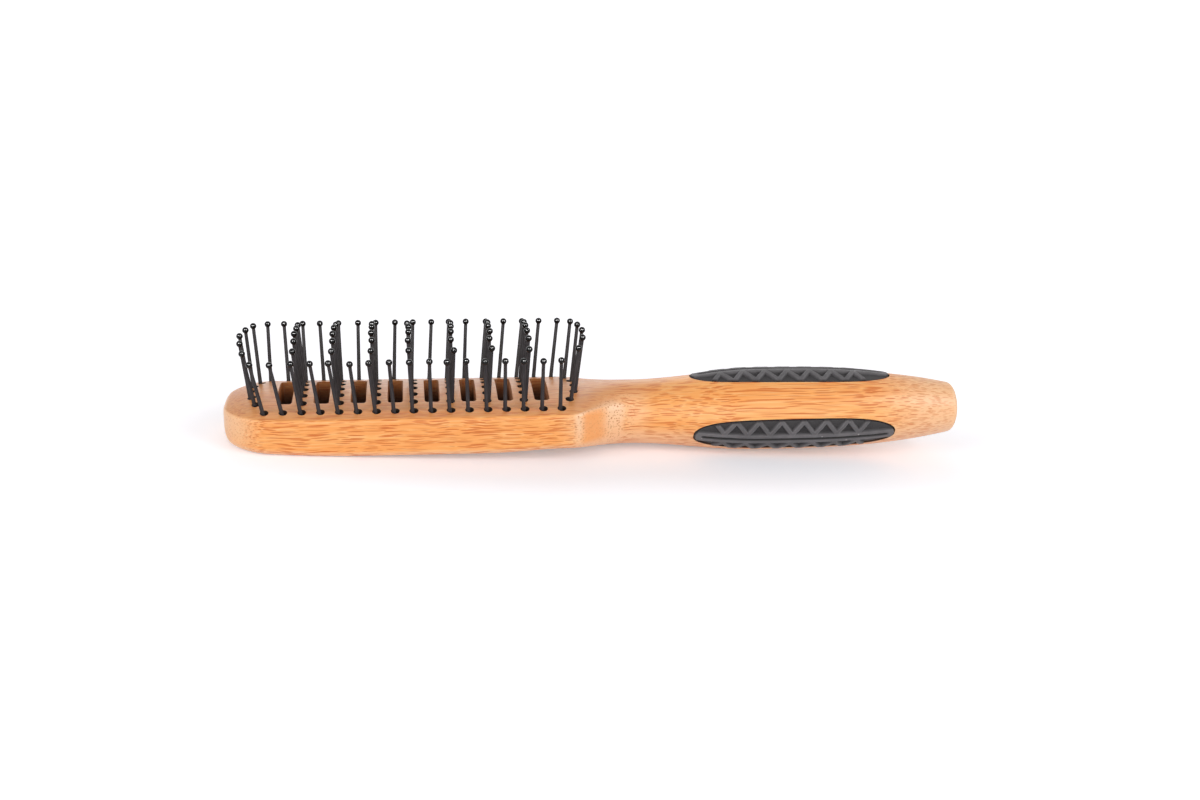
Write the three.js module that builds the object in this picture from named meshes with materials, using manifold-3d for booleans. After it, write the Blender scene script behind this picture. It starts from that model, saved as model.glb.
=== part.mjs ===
// Vent brush: head, neck and handle in one piece of bamboo, ball-tipped nylon pins set in drilled holes,
// and three ribbed rubber grips let into the handle.
// Millimetres, +Z up. The brush lies on its back along X, with the nose of the head at -X and the butt
// of the handle at +X. The origin is under the middle of its length, level with the lowest wood.
import * as THREE from 'three';
import { ConvexGeometry } from 'three/addons/geometries/ConvexGeometry.js';
import { mergeVertices } from 'three/addons/utils/BufferGeometryUtils.js';
import Module from 'manifold-3d';

const wasm = await Module();
wasm.setup();

// Lengths along the brush
const HEAD_LENGTH = 103.9; // nose to the start of the shoulders
const SHOULDER_LENGTH = 21.5; // shoulders, sweeping down to the neck
const SHOULDER_CORNER = 6; // convex start of the sweep
const SHOULDER_FILLET = 9.5; // concave end of the sweep
const HANDLE_LENGTH = 103.5; // neck to butt

// Head: a slab with a crowned top and a flat back
const HEAD_WIDTH = 35.4; // at the middle of the head
const HEAD_BARREL = 0.6; // each side draws in this much towards the ends of the head
const HEAD_THICKNESS = 15.7; // at the middle of the crown
const CROWN_RADIUS = 46.6;
const TOP_EDGE = 1.6; // rounding between crown and sides
const BACK_EDGE = 2.6; // rounding between sides and back
const NOSE_RADIUS = 14.5; // corners of the nose, seen from above
const NOSE_DIP = 3.2; // the top falls this much towards the nose
const NOSE_DIP_LENGTH = 13.5;
const NOSE_LIFT = 2.4; // the back rises this much towards the nose
const NOSE_LIFT_LENGTH = 42;
const BACK_RISE = 1; // and this much towards the shoulders
const BACK_RISE_LENGTH = 24;

// Neck and handle: round sections on one straight axis
const AXIS_DEPTH = 8.9; // axis at the neck, below the top of the crown
const HANDLE_DROP = 0.25; // how far the axis falls from neck to butt
const NECK_DIAMETER = 19.9;
const BELLY_DIAMETER = 25;
const BELLY_AT = 38; // from the neck
const BUTT_DIAMETER = 14.5;
const BUTT_TAPER = 2.9; // power of the taper from belly to butt
const BUTT_EDGE = 1.3;
const BUTT_DOME = 1.7;

// Pins: two full outer rows, with inner rows only between the vents
const ROWS = 7;
const COLUMNS = 17;
const FIELD_NOSE_MARGIN = 13.5; // nose to the first column
const FIELD_NECK_MARGIN = 1.6; // last column to the shoulders
const ROW_MARGIN = 3.85; // outer rows to the sides of the head
const END_BULGE = 5.1; // the end columns bow outwards by this much
const PIN_FAN = THREE.MathUtils.degToRad(5.2); // lean of the end columns along the brush
const FRONT_FAN = THREE.MathUtils.degToRad(0.4); // the same for the front row, towards the neck
const PIN_LEAN = THREE.MathUtils.degToRad(-2.1); // lean of all pins, towards the nose
const ROW_LEAN = THREE.MathUtils.degToRad(2); // further lean of the outer rows, opposite ways
const END_LEAN = THREE.MathUtils.degToRad(4.5); // further lean of the middle pin nearest the neck
const PIN_REACH = 18; // wood to the middle of the ball
const PIN_ROOT_DIAMETER = 1.5;
const PIN_TIP_DIAMETER = 1;
const BALL_DIAMETER = 1.9;
const PIN_DEPTH = 6;

// Vents: one slot between each two inner columns of pins, right through the head
const VENT_WIDTH = 4.4;
const VENT_END_WALL = 4.35; // wood between a vent and the middle of the outer pins
const VENT_CORNER = 0.9;

// Grips: blunt lens-shaped pads in pockets round the handle
const GRIP_ANGLES = { top: 92.5, front: -23, back: 204 }; // degrees round the axis, 0 facing -Y
const GRIP_NECK_MARGIN = 18.5; // neck to the near tip
const GRIP_BUTT_MARGIN = 22.5; // far tip to the butt
const GRIP_WIDTH = 12.1; // along the surface
const GRIP_BLUNTNESS = 3.3;
const GRIP_TIP_WIDTH = 0.8; // the very tips are cut off this blunt
const POCKET_DEPTH = 1.6;
const RIB_HEIGHT = 0.45; // ribs stand this far above the wood at the edge of a grip
const GRIP_CROWN = 0.6; // and this much further along its middle
const RIB_WIDTH = 1.9;
const RECESS_DEPTH = 0.3; // floor between the ribs, below the wood
const RIB_TURNS = 7; // turns of the zigzag on each side of the middle line
const RIB_MARGIN = 0.35; // outer turns to the edge of the lens
const GRIP_PLAIN_END = 10.4; // tip to the first turn
const SPINE_WIDTH = 3.2; // raised band along the middle of a grip
const SPINE_GROOVE_WIDTH = 0.6;
const SPINE_GROOVE_DEPTH = 0.6;

const CLEARANCE = 0.3; // between each inset piece and its seat
const OVERCUT = 3; // how far cutting shapes stand clear of the surface

// Positions worked out from the sizes above
const NECK_X = HEAD_LENGTH + SHOULDER_LENGTH;
const LENGTH = NECK_X + HANDLE_LENGTH;
const BELLY_X = NECK_X + BELLY_AT;
const FIELD_LENGTH = HEAD_LENGTH - FIELD_NOSE_MARGIN - FIELD_NECK_MARGIN;
const COLUMN_PITCH = FIELD_LENGTH / (COLUMNS - 1);
const OUTER_ROW_Y = HEAD_WIDTH / 2 - ROW_MARGIN;
const MIDDLE_ROW = (ROWS - 1) / 2;
const ROW_ANGLE = Math.asin(OUTER_ROW_Y / CROWN_RADIUS) / MIDDLE_ROW;
const VENT_LENGTH = 2 * (OUTER_ROW_Y - VENT_END_WALL);
const GRIP_LENGTH = HANDLE_LENGTH - GRIP_NECK_MARGIN - GRIP_BUTT_MARGIN;
const GRIP_X = NECK_X + GRIP_NECK_MARGIN + GRIP_LENGTH / 2;
const RIB_PITCH = (GRIP_LENGTH - 2 * GRIP_PLAIN_END) / (RIB_TURNS - 1);

const bamboo = new THREE.MeshStandardMaterial({ color: 0xe09a5a, roughness: 0.5, metalness: 0 });
const rubber = new THREE.MeshStandardMaterial({ color: 0x353336, roughness: 0.85, metalness: 0 });
const nylon = new THREE.MeshStandardMaterial({ color: 0x2b2a2c, roughness: 0.35, metalness: 0 });

// Solids

function solidOf(geometry) {
  const bare = geometry.clone();
  bare.deleteAttribute('normal');
  bare.deleteAttribute('uv');
  const merged = mergeVertices(bare, 1e-4);
  return new wasm.Manifold(new wasm.Mesh({
    numProp: 3,
    vertProperties: new Float32Array(merged.attributes.position.array),
    triVerts: new Uint32Array(merged.index.array),
  }));
}

function geometryOf(solid) {
  const mesh = solid.getMesh();
  const geometry = new THREE.BufferGeometry();
  geometry.setAttribute('position', new THREE.BufferAttribute(mesh.vertProperties, 3));
  geometry.setIndex(new THREE.BufferAttribute(mesh.triVerts, 1));
  geometry.computeVertexNormals();
  return geometry;
}

// A closed loft through rings of as many points each, with a fan of triangles over each end.
function loft(rings, startCentre, endCentre) {
  const count = rings[0].length;
  const points = [...rings.flat(), startCentre, endCentre];
  const start = points.length - 2;
  const end = points.length - 1;
  const last = (rings.length - 1) * count;
  const triangles = [];
  for (let j = 0; j < count; j += 1) {
    const next = (j + 1) % count;
    triangles.push(start, next, j, end, last + j, last + next);
    for (let i = 0; i < rings.length - 1; i += 1) {
      const near = i * count;
      const far = near + count;
      triangles.push(near + j, near + next, far + next, near + j, far + next, far + j);
    }
  }
  const geometry = new THREE.BufferGeometry().setFromPoints(points);
  geometry.setIndex(triangles);
  return geometry;
}

function middleOf(ring) {
  const sum = ring.reduce((total, point) => total.add(point), new THREE.Vector3());
  return sum.divideScalar(ring.length);
}

function range(count, from, to) {
  return Array.from({ length: count + 1 }, (_, i) => THREE.MathUtils.lerp(from, to, i / count));
}

// Form of the wood, with x counted from the nose and z from the top of the crown

// Share of the sweep from head to neck: a parabola at each end with a straight stretch between them
function shoulderSweep(x) {
  const along = THREE.MathUtils.clamp(x - HEAD_LENGTH, 0, SHOULDER_LENGTH);
  const left = SHOULDER_LENGTH - along;
  const slope = 1 / (SHOULDER_LENGTH - (SHOULDER_CORNER + SHOULDER_FILLET) / 2);
  if (along < SHOULDER_CORNER) return (slope * along ** 2) / (2 * SHOULDER_CORNER);
  if (left < SHOULDER_FILLET) return 1 - (slope * left ** 2) / (2 * SHOULDER_FILLET);
  return slope * (along - SHOULDER_CORNER / 2);
}

// How far a rounded edge of the given radius has drawn in, a distance from the end
function roundIn(distance, radius) {
  if (distance >= radius) return 0;
  return radius - Math.sqrt(radius ** 2 - (radius - distance) ** 2);
}

function noseDip(x) {
  return NOSE_DIP * Math.max(0, 1 - x / NOSE_DIP_LENGTH) ** 2;
}

function axisZ(x) {
  return -AXIS_DEPTH - HANDLE_DROP * Math.max(0, (x - NECK_X) / HANDLE_LENGTH);
}

function handleRadius(x) {
  const swell = THREE.MathUtils.smoothstep(x, NECK_X, BELLY_X);
  const taper = Math.max(0, (x - BELLY_X) / (LENGTH - BELLY_X)) ** BUTT_TAPER;
  const full = THREE.MathUtils.lerp(NECK_DIAMETER, BELLY_DIAMETER, swell) / 2;
  return full - (taper * (BELLY_DIAMETER - BUTT_DIAMETER)) / 2;
}

function onHandle(x, angle, height) {
  const radius = handleRadius(x) + height;
  return new THREE.Vector3(x, -radius * Math.cos(angle), axisZ(x) + radius * Math.sin(angle));
}

// Each half section runs from the top to the back in five stretches: crown, top edge, side, back edge
// and back. The round section follows the same stretches at these angles from the top.
const STRETCH_STEPS = [4, 2, 2, 4, 2];
const ROUND_ANGLES = [0, 52, 70, 105, 158, 180].map(THREE.MathUtils.degToRad);

function slabHalf(x) {
  const fromMiddle = Math.min(1, Math.abs((2 * x) / HEAD_LENGTH - 1));
  const half = HEAD_WIDTH / 2 - HEAD_BARREL * fromMiddle ** 2 - roundIn(x, NOSE_RADIUS);
  const top = -noseDip(x) - roundIn(x, TOP_EDGE);
  const lift = NOSE_LIFT * Math.max(0, 1 - x / NOSE_LIFT_LENGTH) ** 2;
  const rise = BACK_RISE * THREE.MathUtils.smoothstep(x, HEAD_LENGTH - BACK_RISE_LENGTH, HEAD_LENGTH);
  const back = -HEAD_THICKNESS + lift + rise + roundIn(x, BACK_EDGE);
  const under = Math.min(BACK_EDGE, half / 2);
  const edgeY = half - TOP_EDGE;
  const edgeZ = top - CROWN_RADIUS + Math.sqrt((CROWN_RADIUS - TOP_EDGE) ** 2 - edgeY ** 2);
  const crownAngle = Math.asin(edgeY / (CROWN_RADIUS - TOP_EDGE));
  const arc = (y, z, radius, angle) => [y + radius * Math.sin(angle), z + radius * Math.cos(angle)];
  const crown = (t) => arc(0, top - CROWN_RADIUS, CROWN_RADIUS, t * crownAngle);
  const topEdge = (t) => arc(edgeY, edgeZ, TOP_EDGE, THREE.MathUtils.lerp(crownAngle, Math.PI / 2, t));
  const side = (t) => [half, THREE.MathUtils.lerp(edgeZ, back + under, t)];
  const backEdge = (t) => arc(half - under, back + under, under, (1 + t) * (Math.PI / 2));
  const flat = (t) => [(1 - t) * (half - under), back];
  return [crown, topEdge, side, backEdge, flat];
}

function roundHalf(x) {
  const dome = Math.sqrt(Math.min(1, (LENGTH - x) / BUTT_DOME));
  const radius = dome * (handleRadius(x) - roundIn(Math.max(0, LENGTH - BUTT_DOME - x), BUTT_EDGE));
  return STRETCH_STEPS.map((_, k) => (t) => {
    const angle = THREE.MathUtils.lerp(ROUND_ANGLES[k], ROUND_ANGLES[k + 1], t);
    return [radius * Math.sin(angle), axisZ(x) + radius * Math.cos(angle)];
  });
}

function woodRing(x) {
  const slab = slabHalf(x);
  const round = roundHalf(x);
  const blend = shoulderSweep(x);
  const half = [];
  STRETCH_STEPS.forEach((steps, k) => {
    for (let i = 0; i < steps; i += 1) half.push([slab[k](i / steps), round[k](i / steps)]);
  });
  half.push([slab.at(-1)(1), round.at(-1)(1)]);
  const points = half.map(([a, b]) => [
    THREE.MathUtils.lerp(a[0], b[0], blend),
    THREE.MathUtils.lerp(a[1], b[1], blend),
  ]);
  const mirrored = points.map(([y, z]) => [-y, z]);
  return [...mirrored, ...points.slice(1, -1).reverse()].map(([y, z]) => new THREE.Vector3(x, y, z));
}

function woodBlank() {
  const quarter = (count) => range(count, 0, Math.PI / 2).map((angle) => 1 - Math.cos(angle));
  const nose = quarter(8).map((share) => share * NOSE_RADIUS);
  const lift = range(2, NOSE_RADIUS, NOSE_LIFT_LENGTH).slice(1);
  const rise = range(3, HEAD_LENGTH - BACK_RISE_LENGTH, HEAD_LENGTH).slice(0, -1);
  const shoulder = range(8, HEAD_LENGTH, NECK_X);
  const handle = range(12, NECK_X, LENGTH - BUTT_DOME - BUTT_EDGE).slice(1);
  const butt = quarter(2).slice(0, -1).reverse().map((share) => LENGTH - BUTT_DOME - share * BUTT_EDGE);
  const dome = range(3, 1, 0).slice(1, -1).map((share) => LENGTH - BUTT_DOME * share ** 2);
  const rings = [...nose, ...lift, ...rise, ...shoulder, ...handle, ...butt, ...dome].map(woodRing);
  return loft(rings, middleOf(rings[0]), new THREE.Vector3(LENGTH, 0, axisZ(LENGTH)));
}

// Pins and their holes

// Every place in the field that has a pin, with its foot on the crown and the way that it points.
// Both outer rows are pieces of their own. Of the inner pins, every other one is, chequerwise, and the
// pins between them are one with the wood.
function pinPlaces() {
  const places = [];
  for (let row = 0; row < ROWS; row += 1) {
    for (let column = 0; column < COLUMNS; column += 1) {
      const outer = row === 0 || row === ROWS - 1;
      if (!outer && column % 2 === 1) continue;
      const bow = END_BULGE * (1 - ((row - MIDDLE_ROW) / MIDDLE_ROW) ** 2);
      const end = column === 0 ? -1 : Number(column === COLUMNS - 1);
      const alongField = column * COLUMN_PITCH + end * bow - FIELD_LENGTH / 2;
      const rowLean = (ROW_LEAN * (row - MIDDLE_ROW)) / MIDDLE_ROW;
      const endLean = end > 0 ? (END_LEAN * bow) / END_BULGE : 0;
      const fan = row === 0 && alongField > 0 ? FRONT_FAN : PIN_FAN;
      const lean = PIN_LEAN + rowLean + endLean + (fan * alongField) / (FIELD_LENGTH / 2);
      const across = (row - MIDDLE_ROW) * ROW_ANGLE;
      const x = FIELD_NOSE_MARGIN + FIELD_LENGTH / 2 + alongField;
      const foot = new THREE.Vector3(
        x,
        CROWN_RADIUS * Math.sin(across),
        CROWN_RADIUS * (Math.cos(across) - 1) - noseDip(x),
      );
      const way = new THREE.Vector3(
        Math.sin(lean),
        Math.cos(lean) * Math.sin(across),
        Math.cos(lean) * Math.cos(across),
      );
      const turn = new THREE.Quaternion().setFromUnitVectors(new THREE.Vector3(0, 1, 0), way);
      const fused = !outer && (column / 2 + row) % 2 === 1;
      places.push({ row, column, fused, foot, turn });
    }
  }
  return places;
}

function pinGeometry() {
  const ball = BALL_DIAMETER / 2;
  const neckAngle = Math.asin(PIN_TIP_DIAMETER / BALL_DIAMETER);
  const profile = [
    new THREE.Vector2(0, -PIN_DEPTH),
    new THREE.Vector2(PIN_ROOT_DIAMETER / 2, -PIN_DEPTH),
    new THREE.Vector2(PIN_ROOT_DIAMETER / 2, 0),
    ...range(3, Math.PI - neckAngle, 0).map(
      (angle) => new THREE.Vector2(ball * Math.sin(angle), PIN_REACH + ball * Math.cos(angle)),
    ),
  ];
  profile.at(-1).x = 0;
  return new THREE.LatheGeometry(profile, 6);
}

function setAt(geometry, { foot, turn }) {
  geometry.applyQuaternion(turn);
  geometry.translate(foot.x, foot.y, foot.z);
  return solidOf(geometry);
}

function holeGeometry() {
  const depth = PIN_DEPTH + CLEARANCE;
  const radius = PIN_ROOT_DIAMETER / 2 + CLEARANCE;
  const hole = new THREE.CylinderGeometry(radius, radius, depth + OVERCUT, 6);
  hole.translate(0, (OVERCUT - depth) / 2, 0);
  return hole;
}

// Vents

function ventSolid(x) {
  const w = VENT_WIDTH / 2;
  const l = VENT_LENGTH / 2;
  const c = VENT_CORNER;
  const outline = new THREE.Shape();
  outline.absarc(w - c, l - c, c, 0, Math.PI / 2);
  outline.absarc(c - w, l - c, c, Math.PI / 2, Math.PI);
  outline.absarc(c - w, c - l, c, Math.PI, 1.5 * Math.PI);
  outline.absarc(w - c, c - l, c, 1.5 * Math.PI, 2 * Math.PI);
  outline.closePath();
  const depth = HEAD_THICKNESS + 2 * OVERCUT;
  const slot = new THREE.ExtrudeGeometry(outline, { depth, bevelEnabled: false, curveSegments: 2 });
  slot.translate(x, 0, OVERCUT - depth);
  return solidOf(slot);
}

// Grips

function gripHalfWidth(share) {
  return (GRIP_WIDTH / 2) * Math.sqrt(1 - Math.abs(share) ** GRIP_BLUNTNESS);
}

// Height of the ribs above the wood, at a share of the length and of the width
function ribTop(share, side) {
  const crown = GRIP_CROWN * (1 - Math.abs(share) ** GRIP_BLUNTNESS);
  return RIB_HEIGHT + crown * (1 - side ** 2);
}

// A band laid on the handle round the given angle, between two heights above the wood
function bandOnHandle({ angle, halfLength, halfWidth, low, high, stations }) {
  const across = range(4, -1, 1);
  const rings = range(stations, -Math.PI / 2, Math.PI / 2).map((step) => {
    const share = Math.sin(step);
    const x = GRIP_X + share * halfLength;
    const spread = halfWidth(share) / handleRadius(x);
    const arc = (height) => across.map((side) => onHandle(x, angle + side * spread, height(share, side)));
    return [...arc(low), ...arc(high).reverse()];
  });
  return solidOf(loft(rings, middleOf(rings[0]), middleOf(rings.at(-1))));
}

function lensOnHandle(angle, grow, low, high) {
  return bandOnHandle({
    angle,
    halfLength: GRIP_LENGTH / 2 + grow,
    halfWidth: (share) => Math.max(gripHalfWidth(share), GRIP_TIP_WIDTH / 2) + grow,
    low,
    high,
    stations: 11,
  });
}

// A recess between ribs: corners are given as [along the grip, across the grip] on the surface
function recessSolid(angle, corners) {
  const points = corners.flatMap(([along, across]) => {
    const x = GRIP_X + along;
    const turn = angle + across / handleRadius(GRIP_X);
    return [onHandle(x, turn, -RECESS_DEPTH), onHandle(x, turn, OVERCUT)];
  });
  return solidOf(new ConvexGeometry(points));
}

// Recesses on one side of the middle line: inner triangles stand on the spine, outer ones open at the edge
function recessCorners() {
  const spine = SPINE_WIDTH / 2;
  const turns = GRIP_WIDTH / 2 - RIB_MARGIN;
  const slope = (turns - spine) / (RIB_PITCH / 2);
  const ribAlong = (RIB_WIDTH / 2) * Math.hypot(1, 1 / slope);
  const ribAcross = ribAlong * slope;
  const outside = turns + ribAcross;
  const first = -((RIB_TURNS - 1) / 2) * RIB_PITCH;
  const tip = GRIP_LENGTH / 2 + OVERCUT;
  const corners = [];
  for (let turn = 0; turn < RIB_TURNS; turn += 1) {
    const x = first + turn * RIB_PITCH;
    const peak = x + RIB_PITCH / 2;
    corners.push([[x, spine + ribAcross], [peak - RIB_PITCH, outside], [peak, outside]]);
    if (turn < RIB_TURNS - 1) {
      corners.push([[x + ribAlong, spine], [x + RIB_PITCH - ribAlong, spine], [peak, turns - ribAcross]]);
    }
  }
  for (const end of [-1, 1]) {
    const x = end * (ribAlong - first);
    corners.push([
      [x, spine],
      [x + end * (ribAlong + RIB_PITCH / 2), outside],
      [end * tip, outside],
      [end * tip, spine],
    ]);
  }
  return corners;
}

function gripSolid(angle) {
  let grip = lensOnHandle(angle, 0, () => CLEARANCE - POCKET_DEPTH, ribTop);
  for (const corners of recessCorners()) {
    for (const side of [-1, 1]) {
      const placed = corners.map(([along, across]) => [along, side * across]);
      grip = grip.subtract(recessSolid(angle, placed));
    }
  }
  return grip.subtract(bandOnHandle({
    angle,
    halfLength: GRIP_LENGTH / 2 - SPINE_WIDTH / 2,
    halfWidth: () => SPINE_GROOVE_WIDTH / 2,
    low: (share) => ribTop(share, 0) - SPINE_GROOVE_DEPTH,
    high: () => OVERCUT,
    stations: 6,
  }));
}

// Assembly

const places = pinPlaces();
const gripAngles = Object.entries(GRIP_ANGLES).map(
  ([name, degrees]) => [name, THREE.MathUtils.degToRad(degrees)],
);

function bambooBody() {
  let body = solidOf(woodBlank());
  for (let column = 1; column < COLUMNS; column += 2) {
    body = body.subtract(ventSolid(FIELD_NOSE_MARGIN + column * COLUMN_PITCH));
  }
  for (const place of places) {
    if (place.fused) body = body.add(setAt(pinGeometry(), place));
    else body = body.subtract(setAt(holeGeometry(), place));
  }
  for (const [, angle] of gripAngles) {
    body = body.subtract(lensOnHandle(angle, CLEARANCE, () => -POCKET_DEPTH, () => OVERCUT));
  }
  return geometryOf(body);
}

function named(name, geometry, material) {
  const mesh = new THREE.Mesh(geometry, material);
  mesh.name = name;
  return mesh;
}

const brush = new THREE.Group();
brush.add(named('bamboo_body', bambooBody(), bamboo));
for (const [name, angle] of gripAngles) {
  brush.add(named(`${name}_grip`, geometryOf(gripSolid(angle)), rubber));
}

const pin = pinGeometry();
for (const { row, column, fused, foot, turn } of places) {
  if (fused) continue;
  const label = `pin_row${row + 1}_column${String(column + 1).padStart(2, '0')}`;
  const mesh = named(label, pin, nylon);
  mesh.position.copy(foot);
  mesh.quaternion.copy(turn);
  brush.add(mesh);
}

const lowest = Math.min(...range(200, NECK_X, LENGTH).map((x) => axisZ(x) - handleRadius(x)));
brush.position.set(-LENGTH / 2, 0, -lowest);

const part = new THREE.Group();
part.add(brush);

export default part;
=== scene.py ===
import math
import random

import bmesh
import bpy
import numpy as np
from mathutils import Matrix, Vector

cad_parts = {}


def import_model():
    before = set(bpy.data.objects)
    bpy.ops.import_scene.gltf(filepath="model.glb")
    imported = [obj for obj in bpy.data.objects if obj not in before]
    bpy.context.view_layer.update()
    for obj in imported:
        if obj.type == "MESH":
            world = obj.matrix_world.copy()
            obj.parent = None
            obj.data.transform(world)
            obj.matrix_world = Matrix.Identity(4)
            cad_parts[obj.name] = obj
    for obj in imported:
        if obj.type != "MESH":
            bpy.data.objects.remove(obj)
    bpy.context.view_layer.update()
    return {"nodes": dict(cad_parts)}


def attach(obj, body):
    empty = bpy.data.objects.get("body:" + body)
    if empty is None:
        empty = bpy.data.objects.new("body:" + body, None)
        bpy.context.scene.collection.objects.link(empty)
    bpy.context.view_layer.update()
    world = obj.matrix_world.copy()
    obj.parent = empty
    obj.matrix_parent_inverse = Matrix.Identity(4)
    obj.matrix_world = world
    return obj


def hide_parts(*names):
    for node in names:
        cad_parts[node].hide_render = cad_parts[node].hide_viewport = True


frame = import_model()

MM = 0.001

# Lengths along the brush
HEAD_LENGTH = 103.9 * MM
SHOULDER_LENGTH = 21.5 * MM
SHOULDER_CORNER = 6 * MM  # convex start of the sweep from head to neck
SHOULDER_FILLET = 9.5 * MM  # concave end of it
HANDLE_LENGTH = 103.5 * MM
NECK_X = HEAD_LENGTH + SHOULDER_LENGTH
LENGTH = NECK_X + HANDLE_LENGTH

# Head
HEAD_WIDTH = 35.4 * MM
HEAD_BARREL = 0.6 * MM  # each side draws in this much towards the ends of the head
HEAD_THICKNESS = 15.7 * MM
CROWN_RADIUS = 46.6 * MM
TOP_EDGE = 1.6 * MM  # rounding between crown and sides
BACK_EDGE = 2.6 * MM  # rounding between sides and back
NOSE_RADIUS = 14.5 * MM  # corners of the nose, seen from above
NOSE_DIP = 3.2 * MM  # the top falls this much towards the nose
NOSE_DIP_LENGTH = 13.5 * MM
NOSE_LIFT = 2.4 * MM  # the back rises this much towards the nose
NOSE_LIFT_LENGTH = 42 * MM
BACK_RISE = 1 * MM  # and this much towards the shoulders
BACK_RISE_LENGTH = 24 * MM

# Handle
AXIS_DEPTH = 8.9 * MM  # axis at the neck, below the top of the crown
HANDLE_DROP = 0.25 * MM  # how far the axis falls from neck to butt
NECK_DIAMETER = 19.9 * MM
BELLY_DIAMETER = 25 * MM
BELLY_X = NECK_X + 38 * MM
BUTT_DIAMETER = 14.5 * MM
BUTT_TAPER = 2.9  # power of the taper from belly to butt
BUTT_EDGE = 1.3 * MM
BUTT_DOME = 1.7 * MM

# Field of pins
ROWS = 7
COLUMNS = 17
MIDDLE_ROW = (ROWS - 1) / 2
MIDDLE_COLUMN = (COLUMNS - 1) / 2
FIELD_NOSE_MARGIN = 13.5 * MM  # nose to the first column
FIELD_NECK_MARGIN = 1.6 * MM  # last column to the shoulders
FIELD_LENGTH = HEAD_LENGTH - FIELD_NOSE_MARGIN - FIELD_NECK_MARGIN
COLUMN_PITCH = FIELD_LENGTH / (COLUMNS - 1)
ROW_MARGIN = 3.85 * MM  # outer rows to the sides of the head
OUTER_ROW_Y = HEAD_WIDTH / 2 - ROW_MARGIN
ROW_ANGLE = math.asin(OUTER_ROW_Y / CROWN_RADIUS) / MIDDLE_ROW
END_BULGE = 5.1 * MM  # the end columns bow outwards by this much
PIN_FAN = math.radians(5.2)  # lean of the end columns along the brush
FRONT_FAN = math.radians(0.4)  # the same for the front row, towards the neck
PIN_LEAN = math.radians(-2.1)  # lean of all pins, towards the nose
ROW_LEAN = math.radians(2)  # further lean of the outer rows, opposite ways
NECK_LEAN = math.radians(2.8)  # further lean of inner pins on the neck half
NOSE_LEAN = math.radians(-1.2)  # and on the nose half
PIN_JITTER = math.radians(0.7)  # scatter of the lean from pin to pin
PIN_SEED = 7

# Pins and their holes
PIN_REACH = 18 * MM  # wood to the middle of the ball
PIN_DEPTH = 6 * MM
PIN_ROOT_RADIUS = 0.62 * MM
PIN_SHAFT_RADIUS = 0.53 * MM
PIN_TAPER = 0.6  # power of the taper from root to ball
PIN_SIDES = 20
SHAFT_SHARES = np.linspace(0.08, 1, 8)  # where the taper has its rings
BALL_RADIUS = 1.0 * MM
BALL_NECK = 0.5 * MM  # the shaft runs into the ball over this length
BALL_STEPS = 12
BALL_CAP = 0.02  # half angle of the flat that closes the ball
POLISHED_FROM = PIN_REACH - 0.9 * BALL_RADIUS
PIN_SET = 0.45 * MM  # the foot stands this far off the middle of its hole
HOLE_RADIUS = 1.2 * MM
HOLE_FLARE = 0.14 * MM
HOLE_SINK = 0.1 * MM  # the flare ends this far below the crown

# Vents
VENT_WIDTH = 4.4 * MM
VENT_END_WALL = 4.35 * MM  # wood between a vent and the middle of the outer pins
VENT_LENGTH = 2 * (OUTER_ROW_Y - VENT_END_WALL)
VENT_CORNER = 0.9 * MM
VENT_CORNER_STEPS = 7
VENT_LIP = 0.15 * MM
VENT_LIP_STEPS = 4

# Grips
GRIP_ANGLES = {"top": 92.5, "front": -23, "back": 204}  # degrees round the axis, 0 facing -y
GRIP_NECK_MARGIN = 18.5 * MM  # neck to the near tip
GRIP_BUTT_MARGIN = 22.5 * MM  # far tip to the butt
GRIP_LENGTH = HANDLE_LENGTH - GRIP_NECK_MARGIN - GRIP_BUTT_MARGIN
GRIP_X = NECK_X + GRIP_NECK_MARGIN + GRIP_LENGTH / 2
GRIP_WIDTH = 12.1 * MM
GRIP_BLUNTNESS = 3.3
GRIP_TIP_WIDTH = 0.8 * MM
TIP_CROWDING = 1.25  # power that draws the stations of a grip towards its tips
POCKET_DEPTH = 1.6 * MM
POCKET_LIP = 0.15 * MM
POCKET_STATIONS = 121
POCKET_STEPS = 15
RIB_HEIGHT = 0.45 * MM  # ribs stand this far above the wood at the edge of a grip
GRIP_CROWN = 0.6 * MM  # and this much further along its middle
RIB_WIDTH = 1.35 * MM
RIB_ROUNDING = 0.12 * MM
RIB_TURNS = 7  # turns of the zigzag on each side of the middle line
RIB_MARGIN = 0.35 * MM  # outer turns to the edge of the lens
RIB_SHIFT = -1.5 * MM  # the zigzag lies this far towards the head
GRIP_PLAIN_END = 10.4 * MM  # tip to the first turn
RIB_PITCH = (GRIP_LENGTH - 2 * GRIP_PLAIN_END) / (RIB_TURNS - 1)
PALE_RIB_EDGE = 0.3 * MM  # edges of the ribs are paler than their middles
MIDDLE_SHADE = 0.3  # share by which the middles are darker
RECESS_DEPTH = 0.3 * MM  # floor between the ribs, below the wood
SPINE_WIDTH = 3.2 * MM
GROOVE_WIDTH = 0.9 * MM
GROOVE_DEPTH = 0.6 * MM
GROOVE_ROUNDING = 0.1 * MM
PAD_EDGE = 0.45 * MM
PAD_STATIONS = 421
PAD_STEPS = 67
PAD_FLOOR_STEPS = 9
CLEARANCE = 0.3 * MM  # between each inset piece and its seat
OVERCUT = 3 * MM  # how far cutting shapes stand clear of the surface


# Form of the wood


def smoothstep(x, start, end):
    t = np.clip((x - start) / (end - start), 0, 1)
    return t * t * (3 - 2 * t)


def round_in(distance, radius):
    """How far a rounded edge has drawn in, a distance from the end."""
    left = max(0, radius - max(0, distance))
    return radius - math.sqrt(radius**2 - left**2)


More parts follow.
